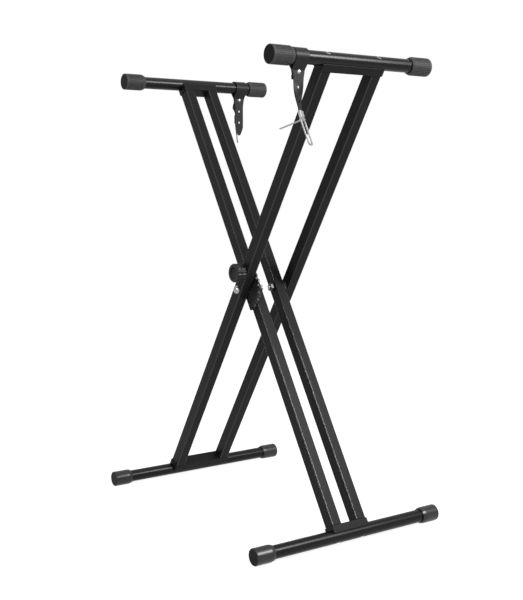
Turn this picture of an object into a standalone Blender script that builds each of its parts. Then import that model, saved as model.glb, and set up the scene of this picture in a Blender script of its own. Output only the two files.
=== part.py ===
"""Folding double X stand for a keyboard instrument.

Two nested frames of square-section rails cross at one pivot. Each frame carries a round support tube
on top and a round foot tube below, bolted into saddle bars. A notched plate and a sprung pull knob lock
the fold, and a rubber strap with a wire buckle hangs from each support tube.

Metres, +Z up. The feet stand on z = 0, the pivot is above the origin, and the round tubes lie along Y,
with the front at -Y.
"""

import math

import bmesh
import bpy
from mathutils import Matrix, Vector

MM = 0.001
TOUCH = 0.3 * MM  # gap between faces that touch

# Legs, measured along a leg from the pivot
OPEN_ANGLE = math.radians(65.0)  # between the two legs
REACH_UP = 510 * MM  # to the support tube's axis
REACH_DOWN = 522 * MM  # to the foot tube's axis
RAIL_DEPTH = 25 * MM
RAIL_WIDTH = 22 * MM
RAIL_WALL = 1.6 * MM
RAIL_CORNER = 2 * MM
OUTER_WIDTH = 138 * MM
FRAME_GAP = 7 * MM
INNER_WIDTH = OUTER_WIDTH - 2 * (RAIL_WIDTH + FRAME_GAP)
TILT = OPEN_ANGLE / 2

# Saddle bars
SADDLE_DEPTH = 27 * MM
SADDLE_HEIGHT = 16 * MM
SADDLE_OVERHANG = 2 * MM
SEAT_RISE = 4 * MM  # the tube's axis stands this far past the saddle's tips

# Round tubes and their end caps
TUBE_RADIUS = 12.5 * MM
TUBE_WALL = 1.5 * MM
TUBE_SIDES = 32
SUPPORT_LENGTH = 360 * MM  # over the caps
FOOT_LENGTH = 434 * MM
CAP_SIDES = 24
CAP_END = 4 * MM
SUPPORT_CAP_RADIUS = 17 * MM
SUPPORT_CAP_LENGTH = 46 * MM
FOOT_CAP_RADIUS = 16 * MM
FOOT_CAP_LENGTH = 40 * MM
COLLAR_RADIUS = 14.6 * MM
COLLAR_LENGTH = 6 * MM
CAP_ROUND = 2 * MM

# Tube bolts and nuts
BOLT_RADIUS = 3 * MM
BOLT_SINK = 9.2 * MM  # from the tube's axis to where the head's seat meets the shank's hole
BOLT_HEAD_TOP = 11.3 * MM  # from the tube's axis to the head's flat top
BOLT_SOCKET_RADIUS = 1.7 * MM
BOLT_SOCKET_DEPTH = 1.4 * MM
BOLT_TAIL = 1.5 * MM
NUT_FLATS = 10 * MM
NUT_HEIGHT = 5 * MM
ROUND_SIDES = 16

# Pivot
PIVOT_HEIGHT = REACH_DOWN * math.cos(TILT) + FOOT_CAP_RADIUS
PIVOT_RADIUS = 4 * MM
PIVOT_HEAD_RADIUS = 9 * MM
PIVOT_HEAD_HEIGHT = 6.5 * MM
PIVOT_NUT_FLATS = 14 * MM
PIVOT_NUT_HEIGHT = 7 * MM
PIVOT_TAIL = 2.5 * MM
WASHER_RADIUS = 11 * MM

# Lock plate, pin and knob
PLATE_RADIUS = 44.5 * MM
PLATE_THICKNESS = 3.5 * MM
PLATE_FLAT = 15 * MM  # the plate is cut off straight, this far behind the leg's middle
NOTCH_PITCH = math.radians(20.0)
NOTCHES_BELOW = 3
NOTCHES_ABOVE = 6
NOTCH_RADIUS = 4.1 * MM
LOCK_REACH = 43 * MM  # from the pivot to the pin's axis
PIN_RADIUS = 3.4 * MM
PIN_CLEAR = 0.6 * MM  # pin tip to plate, in the standing pose
FLANGE_RADIUS = 6.4 * MM
FLANGE_FROM_WALL = 4.5 * MM
FLANGE_THICKNESS = 2 * MM
SLEEVE_RADIUS = 9 * MM
SLEEVE_LENGTH = 9 * MM
KNOB_RADIUS = 19 * MM
KNOB_THICKNESS = 19 * MM
KNOB_STANDOFF = 5 * MM
KNOB_FLUTES = 16
KNOB_FLUTE_DEPTH = 1.2 * MM
KNOB_STEPS = 96
KNOB_RECESS_RADIUS = 10.5 * MM
KNOB_RECESS_DEPTH = 8.6 * MM
KNOB_DISH_RADIUS = 13 * MM
KNOB_DISH_DEPTH = 1 * MM
KNOB_EDGE = 1.5 * MM
KNOB_WALL = 4 * MM
SPRING_RADIUS = 5.2 * MM
SPRING_WIRE = 0.6 * MM
SPRING_TURNS = 5

# Straps, measured down from the tube's axis
STRAP_THICKNESS = 2.5 * MM
STRAP_LOOP_WIDTH = 28 * MM
STRAP_WIDTH = 20 * MM
STRAP_NECK = 22 * MM
STRAP_NARROWS = (10 * MM, 46 * MM)  # where it narrows from the loop's width to its own
STRAP_LAYER_GAP = 0.4 * MM
RIVET_DROP = 26 * MM
RIVET_RADIUS = 2 * MM
RIVET_HEAD_RADIUS = 4 * MM
RIVET_HEAD_HEIGHT = 1.6 * MM
HOLE_RADIUS = 2.5 * MM
HOLE_DROPS = (52 * MM, 77 * MM)
STUB_BEND = 31 * MM  # the short flap leans away from here
STUB_DROP_RIGHT = 39 * MM
STUB_DROP_LEFT = 69 * MM
STUB_TWIST_FROM = 33 * MM
TWIST_FROM = 44 * MM
BOW_FROM = 62 * MM  # the right strap's foot curves sideways from here to its clip
BOW_ANGLE = math.radians(13.0)
TIP_DROP = 106 * MM
TIP_LENGTH = 18 * MM
TIP_WIDTH = 4 * MM
BUCKLE_DROP = 101 * MM
STRAP_TURN = math.radians(40.0)
STUB_TURN_LEFT = math.radians(56.0)
STRAP_RIGHT_Y = -119 * MM
STRAP_LEFT_Y = 112 * MM
STRAP_LEAN_RIGHT = 2 * MM  # how far the short flap stands off the long one
STRAP_LEAN_LEFT = 12.6 * MM

# Buckle: clip, wire loop and wire tongue
CLIP_WIDTH = 22 * MM
CLIP_THICKNESS = 5.2 * MM
CLIP_HEIGHT = 12 * MM
CLIP_FLOOR = 3.6 * MM  # from the hinge axis up to the clip's body
BARREL_RADIUS = 3 * MM
LOOP_WIRE = 1.5 * MM
LOOP_LENGTH = 46 * MM
LOOP_CORNER = 2.2 * MM
LOOP_FAR_CORNER = 8 * MM
LOOP_SIDE_GAP = 0.7 * MM
LOOP_REST = math.radians(7.0)  # from the clip's own down
LOOP_REST_LEFT = math.radians(6.0)
TONGUE_WIRE = 1.5 * MM
TONGUE_LENGTH = 43.5 * MM
TONGUE_EYE = 3.2 * MM
TONGUE_REST = math.radians(-82.0)


def clear_scene():
    """Removes every object that the startup scene holds."""
    for item in list(bpy.data.objects):
        bpy.data.objects.remove(item, do_unlink=True)


def new_collection(name):
    """A collection of this name, linked to the scene."""
    made = bpy.data.collections.new(name)
    bpy.context.scene.collection.children.link(made)
    return made


clear_scene()
PARTS = new_collection("double_x_keyboard_stand")
CUTTERS = new_collection("cutters")


def finish(name, colour, roughness, metallic=0.0):
    """A Principled material with one colour, roughness and metallic value."""
    made = bpy.data.materials.new(name)
    made.use_nodes = True
    shader = made.node_tree.nodes["Principled BSDF"]
    shader.inputs["Base Color"].default_value = (*colour, 1.0)
    shader.inputs["Roughness"].default_value = roughness
    shader.inputs["Metallic"].default_value = metallic
    return made


POWDER_COAT = finish("powder_coat_black", (0.022, 0.022, 0.023), 0.45)
GLOSS_PAINT = finish("gloss_paint_black", (0.015, 0.015, 0.016), 0.2)
RUBBER = finish("rubber_black", (0.03, 0.03, 0.03), 0.7)
PLASTIC = finish("knob_plastic", (0.02, 0.02, 0.02), 0.4)
NYLON = finish("nylon_spacer", (0.04, 0.04, 0.04), 0.5)
PLATE_STEEL = finish("plate_steel_black", (0.018, 0.018, 0.018), 0.4, 0.6)
CHROME = finish("chrome", (0.8, 0.8, 0.8), 0.12, 1.0)
ZINC = finish("zinc", (0.6, 0.6, 0.62), 0.3, 1.0)


def empty(name, parent, location, rotation=(0, 0, 0)):
    """An empty on a joint's axis, which its pieces are parented to."""
    made = bpy.data.objects.new(name, None)
    PARTS.objects.link(made)
    made.parent = parent
    made.location = location
    made.rotation_euler = rotation
    return made


def place(name, data, material, parent, location=(0, 0, 0), rotation=(0, 0, 0)):
    """A sub-part's object, in the parts collection."""
    made = bpy.data.objects.new(name, data)
    PARTS.objects.link(made)
    made.data.materials.append(material)
    made.parent = parent
    made.location = location
    made.rotation_euler = rotation
    return made


def cutter(name, data, parent, location=(0, 0, 0), rotation=(0, 0, 0)):
    """A helper object that cuts or joins others and isn't a part itself."""
    made = bpy.data.objects.new(name, data)
    CUTTERS.objects.link(made)
    made.parent = parent
    made.location = location
    made.rotation_euler = rotation
    made.hide_render = True
    made.display_type = "WIRE"
    return made


def combine(target, tool, operation="DIFFERENCE"):
    """Adds a Boolean with the helper to the target."""
    modifier = target.modifiers.new(tool.name, "BOOLEAN")
    modifier.operation = operation
    modifier.object = tool
    return target


def mesh_from(work, name):
    """Turns a bmesh into mesh data and frees it."""
    data = bpy.data.meshes.new(name)
    work.to_mesh(data)
    work.free()
    return data


def box_mesh(size, name="box"):
    """A box of this size, centred on its origin."""
    work = bmesh.new()
    bmesh.ops.create_cube(work, size=1.0)
    bmesh.ops.scale(work, vec=size, verts=work.verts)
    return mesh_from(work, name)


def rod_mesh(radius, length, sides, axis="Z", name="rod"):
    """A closed cylinder along an axis, centred on its origin."""
    work = bmesh.new()
    bmesh.ops.create_cone(
        work, cap_ends=True, segments=sides, radius1=radius, radius2=radius, depth=length
    )
    quarter = math.pi / 2
    if axis == "Y":
        bmesh.ops.rotate(work, matrix=Matrix.Rotation(-quarter, 3, "X"), verts=work.verts)
    if axis == "X":
        bmesh.ops.rotate(work, matrix=Matrix.Rotation(quarter, 3, "Y"), verts=work.verts)
    return mesh_from(work, name)


def across(flat_radius, sides):
    """The corner radius of a polygon whose flats lie at flat_radius."""
    return flat_radius / math.cos(math.pi / sides)


def turned(name, profile, sides, material, parent, location, rotation, ring=False):
    """A turned piece: a profile of (radius, height) that runs down its outer side, with a Screw."""
    count = len(profile)
    edges = [(i, i + 1) for i in range(count - 1)]
    if ring:
        edges.append((count - 1, 0))
    data = bpy.data.meshes.new(name)
    data.from_pydata([(radius, 0.0, height) for radius, height in profile], edges, [])
    made = place(name, data, material, parent, location, rotation)
    screw = made.modifiers.new("turn", "SCREW")
    screw.steps = sides
    screw.render_steps = sides
    screw.use_merge_vertices = True
    screw.merge_threshold = 0.00001
    return made


def ring_profile(outer, inner, length):
    """A washer's profile, from height 0 up to its length."""
    return [(outer, length), (outer, 0.0), (inner, 0.0), (inner, length)]


def dome(radius, height, base, steps=4):
    """Points down a dome's outer side, from its top on the axis to its rim at the base height."""
    turns = [math.pi / 2 * i / steps for i in range(steps + 1)]
    return [(radius * math.sin(turn), base + height * math.cos(turn)) for turn in turns]


def own_axis(side):
    """The rotation that points a turned piece's axis along +Y or -Y."""
    return (-side * math.pi / 2, 0.0, 0.0)


def leg(name, lean, width):
    """One frame's axis empty: its own Z runs up the leg, and its X across it."""
    made = empty(name, None, (0, 0, PIVOT_HEIGHT), (0, lean * TILT, 0))
    made["lean"] = lean
    made["width"] = width
    return made


OUTER = leg("outer_frame_axis", 1, OUTER_WIDTH)
INNER = leg("inner_frame_axis", -1, INNER_WIDTH)

SADDLE_INSET = SEAT_RISE + SADDLE_HEIGHT  # from a tube's axis in to its saddle's flat side


def rail_y(frame, side):
    """The middle of a frame's front (-1) or back (+1) rail."""
    return side * (frame["width"] - RAIL_WIDTH) / 2


def rail(name, frame, side):
    """A square-section rail with open ends, from saddle to saddle."""
    top = REACH_UP - SADDLE_INSET - TOUCH
    foot = -(REACH_DOWN - SADDLE_INSET - TOUCH)
    work = bmesh.new()
    bmesh.ops.create_cube(work, size=1.0)
    ends = [face for face in work.faces if abs(face.normal.z) > 0.5]
    bmesh.ops.delete(work, geom=ends, context="FACES_ONLY")
    bmesh.ops.scale(work, vec=(RAIL_DEPTH, RAIL_WIDTH, top - foot), verts=work.verts)
    corners = [
        edge for edge in work.edges if abs(edge.verts[0].co.z - edge.verts[1].co.z) > RAIL_DEPTH
    ]
    bmesh.ops.bevel(
        work, geom=corners, offset=RAIL_CORNER, segments=2, profile=0.5, affect="EDGES"
    )
    middle = (0, rail_y(frame, side), (top + foot) / 2)
    made = place(name, mesh_from(work, name), POWDER_COAT, frame, middle)
    shell = made.modifiers.new("wall", "SOLIDIFY")
    shell.thickness = RAIL_WALL
    shell.offset = -1
    shell.use_even_offset = True
    return made


def saddle(name, frame, end):
    """The bar across a frame's end, with a round seat for its tube. end is +1 at the top, -1 at the foot."""
    reach = REACH_UP if end > 0 else REACH_DOWN
    size = (SADDLE_DEPTH, frame["width"] + 2 * SADDLE_OVERHANG, SADDLE_HEIGHT)
    middle = (0, 0, end * (reach - SEAT_RISE - SADDLE_HEIGHT / 2))
    made = place(name, box_mesh(size, name), POWDER_COAT, frame, middle)
    seat = rod_mesh(TUBE_RADIUS + TOUCH, 2 * frame["width"], TUBE_SIDES, "Y")
    combine(made, cutter(name + "_seat", seat, frame, (0, 0, end * reach)))
    return made


def tube(name, frame, end, length):
    """A round tube across a frame's end."""
    reach = REACH_UP if end > 0 else REACH_DOWN
    bare = length - 2 * (CAP_END + TOUCH)
    work = bmesh.new()
    bmesh.ops.create_cone(
        work, cap_ends=False, segments=TUBE_SIDES, radius1=TUBE_RADIUS, radius2=TUBE_RADIUS, depth=bare
    )
    bmesh.ops.rotate(work, matrix=Matrix.Rotation(-math.pi / 2, 3, "X"), verts=work.verts)
    made = place(name, mesh_from(work, name), GLOSS_PAINT, frame, (0, 0, end * reach))
    shell = made.modifiers.new("wall", "SOLIDIFY")
    shell.thickness = TUBE_WALL
    shell.offset = -1
    shell.use_even_offset = True
    return made


def cap(name, frame, end, side, length, cap_radius, cap_length):
    """A rubber end cap, turned so that its flats face straight up and down in the standing pose."""
    reach = REACH_UP if end > 0 else REACH_DOWN
    bore = across(TUBE_RADIUS + TOUCH, CAP_SIDES)
    outer = across(cap_radius, CAP_SIDES)
    collar = across(COLLAR_RADIUS, CAP_SIDES)
    profile = [
        (0.0, cap_length),
        (outer - CAP_ROUND, cap_length),
        (outer, cap_length - CAP_ROUND),
        (outer, COLLAR_LENGTH),
        (collar, 0.0),
        (bore, 0.0),
        (bore, cap_length - CAP_END),
        (0.0, cap_length - CAP_END),
    ]
    turn = Matrix.Rotation(-frame["lean"] * TILT, 3, "Y") @ Matrix.Rotation(-side * math.pi / 2, 3, "X")
    turn = turn @ Matrix.Rotation(math.pi / CAP_SIDES, 3, "Z")
    where = (0, side * (length / 2 - cap_length), end * reach)
    return turned(name, profile, CAP_SIDES, RUBBER, frame, where, turn.to_euler())


def bolted(tube_part, saddle_part, names, frame, end):
    """The two bolts and nuts that hold a tube in its saddle, and the holes they pass through."""
    reach = REACH_UP if end > 0 else REACH_DOWN
    seat_low, seat_high = BOLT_SINK - MM, BOLT_SINK + 5 * MM
    seat_foot = BOLT_RADIUS + TOUCH - MM
    seat_rim = seat_foot + seat_high - seat_low
    head_foot = BOLT_SINK + (math.sqrt(2) - 1) * TOUCH
    head_radius = BOLT_RADIUS + BOLT_HEAD_TOP - head_foot
    socket_floor = BOLT_HEAD_TOP - BOLT_SOCKET_DEPTH
    nut_top = SADDLE_INSET + TOUCH
    tail = nut_top + NUT_HEIGHT + BOLT_TAIL
    outward = (0, 0, 0) if end > 0 else (math.pi, 0, 0)
    for side, label in ((-1, "front"), (1, "back")):
        y = rail_y(frame, side)
        hole = rod_mesh(BOLT_RADIUS + TOUCH, tail, ROUND_SIDES)
        hole_tool = cutter(names[0] + label + "_hole", hole, frame, (0, y, end * (reach - tail / 2)))
        combine(tube_part, hole_tool)
        combine(saddle_part, hole_tool)
        work = bmesh.new()
        bmesh.ops.create_cone(
            work,
            cap_ends=True,
            segments=ROUND_SIDES,
            radius1=across(seat_foot, ROUND_SIDES),
            radius2=across(seat_rim, ROUND_SIDES),
            depth=seat_high - seat_low,
        )
        seat_at = (0, y, end * (reach + (seat_low + seat_high) / 2))
        combine(tube_part, cutter(names[0] + label + "_seat", mesh_from(work, "seat"), frame, seat_at, outward))
        head = [(0.0, socket_floor), (BOLT_SOCKET_RADIUS, socket_floor), (BOLT_SOCKET_RADIUS, BOLT_HEAD_TOP)]
        head += [(head_radius, BOLT_HEAD_TOP), (BOLT_RADIUS, head_foot)]
        shank = [(BOLT_RADIUS, -tail), (0.0, -tail)]
        where = (0, y, end * reach)
        turned(names[0] + label, head + shank, ROUND_SIDES, ZINC, frame, where, outward)
        hex_nut(names[1] + label, NUT_FLATS, NUT_HEIGHT, BOLT_RADIUS, frame, (0, y, end * (reach - nut_top - NUT_HEIGHT / 2)), "Z")


def hex_nut(name, flats, height, bolt_radius, parent, location, axis):
    """A hexagon nut with a clearance bore."""
    data = rod_mesh(across(flats / 2, 6), height, 6, axis, name)
    made = place(name, data, ZINC, parent, location)
    bore = rod_mesh(across(bolt_radius + TOUCH, ROUND_SIDES), 3 * height, ROUND_SIDES, axis)
    return combine(made, cutter(name + "_bore", bore, parent, location))


def build_frame(frame, label, top_side, foot_side):
    """One frame with its saddles, tubes, caps, bolts and nuts. Returns its two rails, front and back."""
    rails = [rail(label + "_rail_front", frame, -1), rail(label + "_rail_back", frame, 1)]
    tubes = (
        (1, "top", "support", top_side, SUPPORT_LENGTH, SUPPORT_CAP_RADIUS, SUPPORT_CAP_LENGTH),
        (-1, "foot", "foot", foot_side, FOOT_LENGTH, FOOT_CAP_RADIUS, FOOT_CAP_LENGTH),
    )
    for end, where, kind, hand, length, cap_radius, cap_length in tubes:
        bar = saddle(f"{label}_saddle_{where}", frame, end)
        round_tube = tube(f"{kind}_tube_{hand}", frame, end, length)
        names = (f"{kind}_bolt_{hand}_", f"{kind}_nut_{hand}_")
        bolted(round_tube, bar, names, frame, end)
        for side, face in ((-1, "front"), (1, "back")):
            cap(f"{kind}_cap_{hand}_{face}", frame, end, side, length, cap_radius, cap_length)
    return rails


def build_pivot(outer_rails, inner_rails, plate):
    """The two pivot bolts, their nuts, and the washers that keep the frames apart."""
    hole = rod_mesh(across(PIVOT_RADIUS + TOUCH, ROUND_SIDES), 2 * OUTER_WIDTH, ROUND_SIDES, "Y")
    tool = cutter("pivot_hole", hole, None, (0, 0, PIVOT_HEIGHT))
    for part in (*outer_rails, *inner_rails, plate):
        combine(part, tool)
    reach = 2 * RAIL_WIDTH + FRAME_GAP + 2 * TOUCH
    length = reach + PIVOT_NUT_HEIGHT + PIVOT_TAIL
    profile = dome(PIVOT_HEAD_RADIUS, PIVOT_HEAD_HEIGHT, 0.0)
    profile += [(PIVOT_RADIUS, 0.0), (PIVOT_RADIUS, -length), (0.0, -length)]
    bore = across(PIVOT_RADIUS + TOUCH, CAP_SIDES)
    thickness = {"front": FRAME_GAP - PLATE_THICKNESS - 3 * TOUCH, "back": FRAME_GAP - 2 * TOUCH}
    for side, face in ((-1, "front"), (1, "back")):
        head_at = (0, side * (OUTER_WIDTH / 2 + TOUCH), 0)
        turned("pivot_bolt_" + face, profile, ROUND_SIDES, CHROME, OUTER, head_at, own_axis(side))
        nut_y = side * (INNER_WIDTH / 2 - RAIL_WIDTH - TOUCH - PIVOT_NUT_HEIGHT / 2)
        hex_nut(
            "pivot_nut_" + face, PIVOT_NUT_FLATS, PIVOT_NUT_HEIGHT, PIVOT_RADIUS, OUTER, (0, nut_y, 0), "Y"
        )
        washer = ring_profile(WASHER_RADIUS, bore, thickness[face])
        washer_at = (0, side * (INNER_WIDTH / 2 + FRAME_GAP - TOUCH - thickness[face]), 0)
        turned(
            "pivot_washer_" + face, washer, CAP_SIDES, NYLON, OUTER, washer_at, own_axis(side), ring=True
        )


def lock_plate():
    """The notched plate on the narrow frame's front rail, cut off straight behind the rail."""
    y = -(INNER_WIDTH / 2 + TOUCH + PLATE_THICKNESS / 2)
    disc = rod_mesh(PLATE_RADIUS, PLATE_THICKNESS, 72, "Y", "lock_plate")
    made = place("lock_plate", disc, PLATE_STEEL, INNER, (0, y, 0))
    back = box_mesh((PLATE_RADIUS, 3 * PLATE_THICKNESS, 3 * PLATE_RADIUS))
    combine(made, cutter("plate_flat", back, INNER, (-PLATE_FLAT - PLATE_RADIUS / 2, y, 0)))
    for step in range(-NOTCHES_BELOW, NOTCHES_ABOVE + 1):
        turn = OPEN_ANGLE + step * NOTCH_PITCH
        work = bmesh.new()
        bmesh.ops.create_cone(
            work,
            cap_ends=True,
            segments=ROUND_SIDES,
            radius1=NOTCH_RADIUS,
            radius2=NOTCH_RADIUS,
            depth=3 * PLATE_THICKNESS,
        )
        outer_half = [vertex for vertex in work.verts if vertex.co.y > -NOTCH_RADIUS / 100]
        for vertex in outer_half:
            vertex.co.y += PLATE_RADIUS - LOCK_REACH + NOTCH_RADIUS
        bmesh.ops.rotate(work, matrix=Matrix.Rotation(math.pi / 2, 3, "X"), verts=work.verts)
        bmesh.ops.translate(work, vec=(0, 0, LOCK_REACH), verts=work.verts)
        notch = cutter(f"plate_notch_{step}", mesh_from(work, "notch"), INNER, (0, y, 0), (0, turn, 0))
        combine(made, notch)
    return made


def knob_mesh():
    """The knob's solid: fluted round rim, dished face, and a recess behind that covers the sleeve."""
    work = bmesh.new()
    bmesh.ops.create_cone(
        work,
        cap_ends=True,
        segments=KNOB_STEPS,
        radius1=KNOB_RADIUS,
        radius2=KNOB_RADIUS,
        depth=KNOB_THICKNESS,
    )
    bmesh.ops.translate(work, vec=(0, 0, KNOB_THICKNESS / 2), verts=work.verts)
    face_top = [face for face in work.faces if face.normal.z > 0.5]
    bmesh.ops.inset_region(work, faces=face_top, thickness=KNOB_EDGE, use_even_offset=True)
    for vertex in work.verts:
        reach = math.hypot(vertex.co.x, vertex.co.y)
        rim = reach > KNOB_RADIUS - KNOB_EDGE / 2
        if rim:
            turn = math.atan2(vertex.co.y, vertex.co.x)
            wave = 0.5 - 0.5 * math.cos(KNOB_FLUTES * turn)
            share = (KNOB_RADIUS - KNOB_FLUTE_DEPTH * wave) / reach
            vertex.co.x *= share
            vertex.co.y *= share
            if vertex.co.z > KNOB_THICKNESS / 2:
                vertex.co.z -= KNOB_EDGE
    return mesh_from(work, "lock_knob")


def build_lock(front_rail):
    """The sleeve on the rail, the pin, its spring, and the knob that pulls it."""
    rail_outer = OUTER_WIDTH / 2
    pin_axis = empty("lock_pin_axis", OUTER, (0, -rail_outer, LOCK_REACH), own_axis(-1))
    hole_radius = across(PIN_RADIUS + TOUCH, ROUND_SIDES)
    hole = rod_mesh(hole_radius, 3 * RAIL_WIDTH, ROUND_SIDES)
    combine(front_rail, cutter("pin_hole", hole, pin_axis))
    sleeve = ring_profile(SLEEVE_RADIUS, across(PIN_RADIUS + TOUCH, CAP_SIDES), SLEEVE_LENGTH)
    turned("lock_sleeve", sleeve, CAP_SIDES, ZINC, pin_axis, (0, 0, TOUCH), (0, 0, 0), ring=True)
    tip = -(RAIL_WIDTH + FRAME_GAP - TOUCH - PLATE_THICKNESS - PIN_CLEAR)
    flange_foot = -RAIL_WIDTH + RAIL_WALL + FLANGE_FROM_WALL
    flange_top = flange_foot + FLANGE_THICKNESS
    end = KNOB_STANDOFF + KNOB_THICKNESS - KNOB_WALL
    pin = [
        (0.0, end),
        (PIN_RADIUS, end),
        (PIN_RADIUS, flange_top),
        (FLANGE_RADIUS, flange_top),
        (FLANGE_RADIUS, flange_foot),
        (PIN_RADIUS, flange_foot),
        (PIN_RADIUS, tip + MM),
        (PIN_RADIUS - MM / 2, tip),
        (0.0, tip),
    ]
    turned("lock_pin", pin, ROUND_SIDES, ZINC, pin_axis, (0, 0, 0), (0, 0, 0))
    knob = place("lock_knob", knob_mesh(), PLASTIC, pin_axis, (0, 0, KNOB_STANDOFF))
    recess = rod_mesh(KNOB_RECESS_RADIUS, 2 * KNOB_RECESS_DEPTH, CAP_SIDES)
    combine(knob, cutter("knob_recess", recess, pin_axis, (0, 0, KNOB_STANDOFF)))
    socket = rod_mesh(hole_radius, 2 * (end + TOUCH), ROUND_SIDES)
    combine(knob, cutter("knob_socket", socket, pin_axis))
    dish = rod_mesh(KNOB_DISH_RADIUS, 2 * KNOB_DISH_DEPTH, CAP_SIDES)
    combine(knob, cutter("knob_dish", dish, pin_axis, (0, 0, KNOB_STANDOFF + KNOB_THICKNESS)))
    low = flange_top + TOUCH + SPRING_WIRE
    high = -RAIL_WALL - TOUCH - SPRING_WIRE
    spring_coil(low, high, pin_axis)


def spring_coil(low, high, parent):
    """The pin's spring, one unbroken helix between the flange and the rail's wall."""
    count = SPRING_TURNS * 10
    curve = bpy.data.curves.new("lock_spring", "CURVE")
    curve.dimensions = "3D"
    curve.bevel_depth = SPRING_WIRE
    curve.bevel_resolution = 1
    curve.use_fill_caps = True
    spline = curve.splines.new("POLY")
    spline.points.add(count)
    for i in range(count + 1):
        turn = 2 * math.pi * SPRING_TURNS * i / count
        height = low + (high - low) * i / count
        spline.points[i].co = (SPRING_RADIUS * math.cos(turn), SPRING_RADIUS * math.sin(turn), height, 1)
    return place("lock_spring", curve, ZINC, parent)


def tangent(radius, x, z):
    """The angle at which a line from the point (x, z), right of the middle, touches the circle."""
    return math.atan2(z, x) + math.acos(radius / math.hypot(x, z))


def strap_outlines(long_end, stub_end, lean):
    """The strap's side view as two outlines of (x, z): a loop with a neck, a long flap and a short one."""
    inner = across(TUBE_RADIUS + TOUCH, TUBE_SIDES)
    outer = inner + STRAP_THICKNESS
    half = STRAP_LAYER_GAP / 2
    side = half + STRAP_THICKNESS
    start = tangent(outer, side, -STRAP_NECK)
    turns = [start + (math.pi - 2 * start) * i / 22 for i in range(23)]
    loop = [(outer * math.cos(turn), outer * math.sin(turn)) for turn in turns]
    away = STUB_BEND + lean
    loop += [(-side, -STRAP_NECK), (-side, -STUB_BEND)]
    steps = 12
    stub = [(0.0, STUB_BEND)]
    stub += [(lean * i / 4, STUB_BEND + lean * i / 4) for i in range(1, 5)]
    stub += [(lean, away + (stub_end - away) * i / 8) for i in range(1, 9)]
    loop += [(-side - off, -drop) for off, drop in stub[1:]]
    loop += [(-half - off, -drop) for off, drop in reversed(stub)]
    loop += [(half, -STUB_BEND)]
    fall = long_end - TWIST_FROM
    drops = [TWIST_FROM + fall * i / steps for i in range(steps + 1)]
    loop += [(half, -drop) for drop in drops]
    loop += [(side, -drop) for drop in reversed(drops)]
    loop += [(side, -STRAP_NECK)]
    hollow_foot = STRAP_NECK - STRAP_THICKNESS
    hollow_start = tangent(inner, 0.0001, -hollow_foot)
    turns = [hollow_start + (math.pi - 2 * hollow_start) * i / 22 for i in range(23)]
    hollow = [(inner * math.cos(turn), inner * math.sin(turn)) for turn in turns]
    hollow.append((0.0, -hollow_foot))
    return loop, hollow


def twist(drop, start, end, turn):
    """How far a flap has turned at a distance below the tube's axis. It eases in, and out at its clip."""
    share = min(1.0, max(0.0, (drop - start) / (end - start - CLIP_HEIGHT)))
    return turn * share * share * (3 - 2 * share)


def bow(drop, long_end, angle):
    """How far the long flap's middle has moved sideways and down, and how steeply it leans, at a length."""
    clip_top = long_end - CLIP_HEIGHT
    if angle == 0.0 or drop <= BOW_FROM:
        return 0.0, drop, 0.0
    radius = (clip_top - BOW_FROM) / angle
    lean = angle * min(1.0, (drop - BOW_FROM) / (clip_top - BOW_FROM))
    straight = max(0.0, drop - clip_top)
    sideways = radius * (1 - math.cos(lean)) + straight * math.sin(lean)
    return sideways, BOW_FROM + radius * math.sin(lean) + straight * math.cos(lean), lean


def flap_place(drop, long_end, turn, angle):
    """The place of the long flap's section at a length below the tube's axis, with X through the strap."""
    sideways, down, lean = bow(drop, long_end, angle)
    flap_x = (STRAP_LAYER_GAP + STRAP_THICKNESS) / 2
    foot = Matrix.Rotation(turn, 4, "Z")
    middle = Matrix.Translation((flap_x, 0, -down)) @ foot @ Matrix.Translation((sideways, 0, 0))
    return middle @ Matrix.Rotation(-lean, 4, "Y") @ foot.inverted() @ Matrix.Rotation(
        twist(drop, TWIST_FROM, long_end, turn), 4, "Z"
    )


def strap_mesh(name, long_end, pointed, turns, stub_end, lean, angle):
    """The rubber strap's mesh: its side view extruded, narrowed below the loop, with its flaps turned.

    turns holds how far the long flap and the short one turn, and angle how far the long one leans at its foot.
    """
    curve = bpy.data.curves.new(name + "_outline", "CURVE")
    curve.dimensions = "2D"
    curve.fill_mode = "BOTH"
    curve.extrude = 0.5
    for outline in strap_outlines(long_end, stub_end, lean):
        spline = curve.splines.new("POLY")
        spline.points.add(len(outline) - 1)
        for point, (x, z) in zip(spline.points, outline):
            point.co = (x, z, 0, 1)
        spline.use_cyclic_u = True
    guide = bpy.data.objects.new(name + "_outline", curve)
    CUTTERS.objects.link(guide)
    bpy.context.view_layer.update()
    data = bpy.data.meshes.new_from_object(guide.evaluated_get(bpy.context.evaluated_depsgraph_get()))
    bpy.data.objects.remove(guide, do_unlink=True)
    work = bmesh.new()
    work.from_mesh(data)
    bmesh.ops.remove_doubles(work, verts=work.verts, dist=MM / 100)
    bmesh.ops.rotate(work, matrix=Matrix.Rotation(math.pi / 2, 3, "X"), verts=work.verts)
    flap_x = (STRAP_LAYER_GAP + STRAP_THICKNESS) / 2
    for vertex in work.verts:
        drop = -vertex.co.z
        vertex.co.y *= strap_width(drop, long_end, pointed)
        if drop < STUB_BEND:
            continue
        if vertex.co.x > 0:
            section = Vector((vertex.co.x - flap_x, vertex.co.y, 0))
            vertex.co = flap_place(drop, long_end, turns[0], angle) @ section
        else:
            middle = -flap_x - min(lean, drop - STUB_BEND)
            bend = Matrix.Rotation(twist(drop, STUB_TWIST_FROM, stub_end, turns[1]), 3, "Z")
            vertex.co = bend @ Vector((vertex.co.x - middle, vertex.co.y, 0)) + Vector((middle, 0, -drop))
    bmesh.ops.recalc_face_normals(work, faces=work.faces)
    work.to_mesh(data)
    work.free()
    return data


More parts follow.
